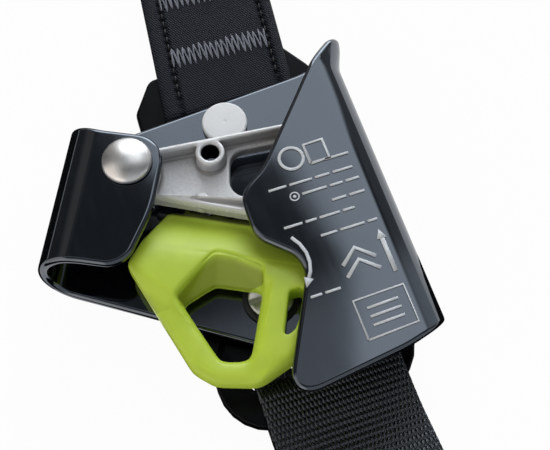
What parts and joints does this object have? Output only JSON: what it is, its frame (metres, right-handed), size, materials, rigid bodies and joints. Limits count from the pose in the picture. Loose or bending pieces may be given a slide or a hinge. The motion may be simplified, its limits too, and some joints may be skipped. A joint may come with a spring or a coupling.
{
  "type": "chest rope ascender",
  "caption": "Chest rope ascender: a bent sheet body with a round rope channel, a sprung toothed cam with a finger trigger, and a webbing frame riveted behind it.",
  "frame": {"origin": "middle of the strap frame's rear face", "axes": "+X across the body towards the rope channel, +Y up along the rope, +Z out of the front"},
  "size_m": [0.1112, 0.192, 0.0338],
  "materials": {
    "black_sheet": "satin black",
    "black_frame": "gloss black",
    "cast_steel": "bead blasted cast steel",
    "bright_steel": "polished",
    "bright_alloy": "matte",
    "plain_steel": "plain",
    "spring_steel": "drawn wire",
    "bronze": "bearing bronze",
    "dark_ring": "black",
    "lime_plastic": "moulded, soft sheen",
    "black_webbing": "woven"
  },
  "bodies": {
    "body": {"body_shell": "black_sheet", "strap_frame": "black_frame", "frame_rivet": "bright_alloy", "frame_screw": "plain_steel", "screw_washer": "dark_ring", "screw_nut": "plain_steel", "rivet_spacer": "plain_steel", "screw_spacer": "plain_steel", "pivot_rivet": "bright_steel", "pivot_tail_washer": "plain_steel", "cam_washer_front": "bronze", "cam_washer_back": "bronze", "cam_spring": "spring_steel", "upper_strap": "black_webbing", "lower_strap": "black_webbing"},
    "cam": {"cam": "cast_steel", "cam_bush": "bronze", "trigger_pin": "plain_steel", "trigger_pin_washer": "bronze", "trigger_spring": "spring_steel"},
    "trigger": {"trigger": "lime_plastic"}
  },
  "joints": [
    {"name": "cam_pivot", "type": "hinge", "parent": "body", "child": "cam", "pos_m": [-0.037, 0.0221, 0.0196], "axis": [0, 0, 1], "range_deg": [-38, 0], "stiffness_Nm_per_rad": 0.03, "springref_deg": 28.65, "deforming": ["cam_spring"]},
    {"name": "trigger_pivot", "type": "hinge", "parent": "cam", "child": "trigger", "pos_m": [-0.019, 0.0062, 0.0167], "axis": [0, 0, 1], "range_deg": [-8, 0], "stiffness_Nm_per_rad": 0.01, "springref_deg": 20.05, "deforming": ["trigger_spring"]}
  ]
}
